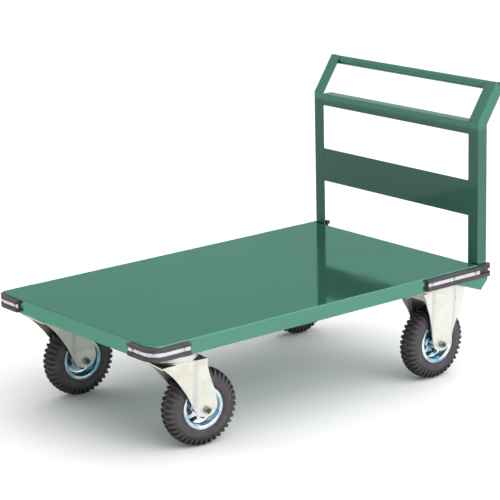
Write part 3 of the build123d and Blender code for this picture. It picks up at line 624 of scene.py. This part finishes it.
def stem_matrix(corner):
    """Frame of a valve stem: z along the stem, origin at its foot."""
    wheel = wheel_matrix(corner)
    angle = math.radians(VALVE_ANGLE[corner])
    out = (wheel.to_3x3() @ Vector((math.cos(angle), 0, math.sin(angle)))).normalized()
    axis = (wheel.to_3x3() @ Vector((0, 1, 0))).normalized()
    root = wheel.translation + (STEM_RADIAL * out + STEM_LATERAL * axis) * MM
    along = (-math.cos(STEM_LEAN) * out - math.sin(STEM_LEAN) * axis).normalized()
    first = along.cross(out).normalized()
    turn = Matrix((first, along.cross(first), along)).transposed().to_4x4()
    return Matrix.Translation(root + along * STEM_ADVANCE * MM) @ turn


def add_valve(corner, steps=24):
    """Rubber-covered valve stem with a ribbed cap, from the well of the rim to the tip."""
    matrix = stem_matrix(corner)
    bm = bmesh.new()
    rows = []
    for along, radius in STEM_PROFILE:
        points = []
        for k, angle in enumerate(angles(steps)):
            ribbed = k % 2 and CAP_RIBS[0] < along < CAP_RIBS[1]
            r = radius - (CAP_RIB_DEPTH if ribbed else 0.0)
            points.append(matrix @ (Vector((r * math.cos(angle), r * math.sin(angle), along)) * MM))
        rows.append(ring(bm, points))
    skin(bm, rows)
    cap(bm, rows)
    finished(bm, "valve_" + corner, "wheel_" + corner, "tube_rubber", (), HARDWARE_CREASE)


for wheel in VALVE_ANGLE:
    add_valve(wheel)

# ---------------------------------------------------------------- weld beads
def lowest(node, axis):
    """Lowest coordinate of a CAD node along an axis, in millimetres."""
    return min(v.co[axis] for v in NODES[node].data.vertices) / MM


NOSE = lowest("deck_tray", 0)
POST_FRONT = lowest("handle_post_left", 0)
BEAD_SIDES = 8
SEAM_BEAD, BAR_BEAD, GRIP_BEAD, STITCH_BEAD = 2.3, 1.6, 1.5, 2.2  # bead radii
# Handle seams, all in millimetres: places across the trolley and heights.
SEAM_ACROSS, BAR_END_ACROSS, GRIP_END_ACROSS = 327.7, 328.4, 364.4
PANEL_SEAM, BAR_SEAM, BAR_TOP = (479.8, 585.8), (727.2, 760.5), 761.3
PANEL_SETBACK, BAR_SETBACK, BAR_TOP_SEAM = 2.6, 3.2, (4.0, 34.0)
# The grip lies behind the front legs of the arms, which lean back from the knee.
KNEE_HEIGHT, ARM_LEAN, GRIP_ALONG_ARM = 766.0, math.radians(34.0), 126.8
SHEET, PIPE_R = 3.0, 13.6
GRIP_SETBACK = SHEET + PIPE_R + CLEARANCE
GRIP_RING_R, GRIP_RING_STEPS = 14.0, 54
# Channels: centre lines from the nose, and the stitches along both of their edges.
CHANNELS, CHANNEL_EDGE, DECK_UNDERSIDE = (58.0, 192.0, 600.0, 1005.0, 1139.0), 25.6, 332.9
STITCHES, STITCH_PITCH, STITCH_STAGGER, STITCH_HALF = 6, 120.0, 20.0, 16.0
SEAM_STEP, STITCH_STEP = 1.6, 2.4  # from ripple to ripple
WELD_CREASE = 60


def bead(bm, path, radius, closed=False):
    """Rippled bead of weld along a path of points in millimetres."""
    points = [Vector(p) * MM for p in path]
    rows = []
    count = len(points)
    for i, point in enumerate(points):
        before = points[i - 1] if closed else points[max(i - 1, 0)]
        after = points[(i + 1) % count] if closed else points[min(i + 1, count - 1)]
        forward = (after - before).normalized()
        across = forward.orthogonal().normalized()
        other = forward.cross(across)
        swell = radius * (0.80 + 0.16 * (i % 2) + 0.08 * rng.random())
        if not closed and i in (0, count - 1):
            swell *= 0.5
        rows.append(ring(bm, (
            point + (across * math.cos(a) + other * math.sin(a)) * swell * MM
            for a in angles(BEAD_SIDES)
        )))
    pairs = list(zip(rows, rows[1:])) + ([(rows[-1], rows[0])] if closed else [])
    for a, b in pairs:
        shift = min(range(BEAD_SIDES), key=lambda d: (a[0].co - b[d].co).length)
        for k in range(BEAD_SIDES):
            m = (k + 1) % BEAD_SIDES
            bm.faces.new((a[k], a[m], b[(m + shift) % BEAD_SIDES], b[(k + shift) % BEAD_SIDES]))
    if not closed:
        cap(bm, rows)


def seam(bm, start, end, radius, step=SEAM_STEP):
    """Straight bead between two points."""
    start, end = Vector(start), Vector(end)
    count = max(2, int((end - start).length / step))
    bead(bm, [start.lerp(end, i / count) for i in range(count + 1)], radius)


def grip_ring(side):
    """Path of the weld round one end of the grip."""
    back, up = math.sin(ARM_LEAN), math.cos(ARM_LEAN)
    centre = Vector((
        POST_FRONT + GRIP_ALONG_ARM * back + GRIP_SETBACK * up,
        side * GRIP_END_ACROSS,
        KNEE_HEIGHT + GRIP_ALONG_ARM * up - GRIP_SETBACK * back,
    ))
    return [
        centre + Vector((GRIP_RING_R * math.cos(a), 0, GRIP_RING_R * math.sin(a)))
        for a in angles(GRIP_RING_STEPS)
    ]


def handle_welds():
    """Seams behind the panel and the cross bar, and rings round the ends of the grip."""
    bm = bmesh.new()
    for side in (-1, 1):
        y = side * SEAM_ACROSS
        for setback, (low, high) in ((PANEL_SETBACK, PANEL_SEAM), (BAR_SETBACK, BAR_SEAM)):
            seam(bm, (POST_FRONT + setback, y, low), (POST_FRONT + setback, y, high), SEAM_BEAD)
        near, far = (POST_FRONT + x for x in BAR_TOP_SEAM)
        seam(bm, (near, y, BAR_TOP), (far, side * BAR_END_ACROSS, BAR_TOP), BAR_BEAD)
        bead(bm, grip_ring(side), GRIP_BEAD, closed=True)
    finished(bm, "handle_welds", "chassis", "green_paint", (), WELD_CREASE)


def channel_welds():
    """Stitch welds between the cross channels and the underside of the deck."""
    bm = bmesh.new()
    first = -STITCH_PITCH * (STITCHES - 1) / 2
    for station in CHANNELS:
        for edge in (-1, 1):
            x = NOSE + station + edge * CHANNEL_EDGE
            for k in range(STITCHES):
                y = first + STITCH_PITCH * k + edge * STITCH_STAGGER
                start, end = ((x, y + half, DECK_UNDERSIDE) for half in (-STITCH_HALF, STITCH_HALF))
                seam(bm, start, end, STITCH_BEAD, STITCH_STEP)
    finished(bm, "channel_welds", "chassis", "green_paint", (), WELD_CREASE)


handle_welds()
channel_welds()

# ---------------------------------------------------------------- rounded edges
EDGE_ROUNDING = {
    **{f"handle_{part}_{side}": 0.9 for part in ("post", "arm") for side in SIDES},
    "handle_cross_bar": 0.9,
    "handle_panel": 0.5,
    **{f"post_gusset_{side}": 0.6 for side in SIDES},
    **{f"bumper_{corner}": 2.6 for corner in CORNERS},
    **{f"bumper_strips_{end}": 0.5 for end in ENDS},
    **{f"{end}_fork_{side}": 0.9 for end in ENDS for side in SIDES},
    **{f"{end}_top_plate_{side}": 0.8 for end in ENDS for side in SIDES},
    "bumper_screws": 0.8,
    "deck_cross_channels": 0.8,
}
for node_name, radius in EDGE_ROUNDING.items():
    softened(node_name, radius)

# ---------------------------------------------------------------- stage, light, camera
FLOOR_HALF = 40
floor_mesh = bpy.data.meshes.new("floor")
floor_mesh.from_pydata(
    [(x * FLOOR_HALF, y * FLOOR_HALF, 0) for x, y in ((-1, -1), (1, -1), (1, 1), (-1, 1))],
    [], [(0, 1, 2, 3)],
)
floor = bpy.data.objects.new("floor", floor_mesh)
bpy.context.scene.collection.objects.link(floor)
floor_shader = Shader("pale_floor")
floor_shader.set(spec=0.1, rough=0.9)
floor_tone = floor_shader.ramp(floor_shader.noise(0.8, 2), [(0.3, grey(0.93)), (0.7, grey(0.95))])
floor_shader.colour(floor_tone)
floor_mesh.materials.append(floor_shader.mat)

world = bpy.data.worlds.new("studio")
world.use_nodes = True
bpy.context.scene.world = world
sky = world.node_tree
sky.nodes["Background"].inputs["Color"].default_value = (1, 1, 1, 1)
direction = sky.nodes.new("ShaderNodeTexCoord")


def sky_patch(towards, start, full, strength):
    """A soft bright patch of the studio round one direction."""
    facing = sky.nodes.new("ShaderNodeVectorMath")
    facing.operation = "DOT_PRODUCT"
    facing.inputs[1].default_value = Vector(towards).normalized()
    patch = sky.nodes.new("ShaderNodeMapRange")
    patch.interpolation_type = "SMOOTHSTEP"
    patch.inputs["From Min"].default_value = start
    patch.inputs["From Max"].default_value = full
    patch.inputs["To Max"].default_value = strength
    sky.links.new(direction.outputs["Generated"], facing.inputs[0])
    sky.links.new(facing.outputs["Value"], patch.inputs["Value"])
    return patch.outputs["Result"]


def sky_sum(first, second):
    add = sky.nodes.new("ShaderNodeMath")
    add.operation = "ADD"
    sky.links.new(first, add.inputs[0])
    sky.links.new(second, add.inputs[1])
    return add.outputs[0]


# Bright patches: direction, cosines from it where the patch starts and is full, strength.
SKY_GLOW = 0.06
OVERHEAD = ((0.22, -0.2, 0.95), 0.35, 0.85, 1.35)
LEFT_WALL = ((0.15, -1.0, 0.1), 0.2, 0.9, 1.15)
REAR_WALL = ((0.65, 0.76, 0.0), 0.2, 0.9, 0.62)
FAR_LAMP = ((-0.54, 0.70, 0.43), 0.86, 0.95, 0.9)
glow = sky.nodes.new("ShaderNodeValue")
glow.outputs[0].default_value = SKY_GLOW
strength = glow.outputs[0]
for patch_settings in (OVERHEAD, LEFT_WALL, REAR_WALL, FAR_LAMP):
    strength = sky_sum(strength, sky_patch(*patch_settings))
sky.links.new(strength, sky.nodes["Background"].inputs["Strength"])


def area_light(name, place, target, size, power):
    light = bpy.data.lights.new(name, "AREA")
    light.shape = "SQUARE"
    light.size = size
    light.energy = power
    obj = bpy.data.objects.new(name, light)
    obj.location = place
    obj.rotation_euler = (Vector(target) - Vector(place)).to_track_quat("-Z", "Y").to_euler()
    bpy.context.scene.collection.objects.link(obj)


area_light("side", place=(0.9, -5.2, 2.6), target=(0.1, 0, 0.4), size=2.6, power=40)
area_light("low", place=(-0.7, -4.6, 0.8), target=(-0.45, 0.2, 0.15), size=1.4, power=12)

CAMERA_PLACE = Vector((-3.6090, -4.4971, 1.9405))
AZIMUTH, PITCH_DOWN, ROLL = math.radians(-38.630), math.radians(14.838), math.radians(-1.379)
LENS, SENSOR = 145.5264, 36.0
back = Vector((
    math.sin(AZIMUTH) * math.cos(PITCH_DOWN),
    -math.cos(AZIMUTH) * math.cos(PITCH_DOWN),
    math.sin(PITCH_DOWN),
))
right = Vector((math.cos(AZIMUTH), math.sin(AZIMUTH), 0))
up = back.cross(right)
right_rolled = math.cos(ROLL) * right + math.sin(ROLL) * up
up_rolled = -math.sin(ROLL) * right + math.cos(ROLL) * up
camera_data = bpy.data.cameras.new("camera")
camera_data.sensor_width = SENSOR
camera_data.lens = LENS
camera_data.clip_end = 200
camera = bpy.data.objects.new("camera", camera_data)
camera_turn = Matrix((right_rolled, up_rolled, back)).transposed().to_4x4()
camera.matrix_world = Matrix.Translation(CAMERA_PLACE) @ camera_turn
bpy.context.scene.collection.objects.link(camera)
bpy.context.scene.camera = camera
bpy.context.scene.view_settings.view_transform = "Standard"
bpy.context.scene.view_settings.look = "None"
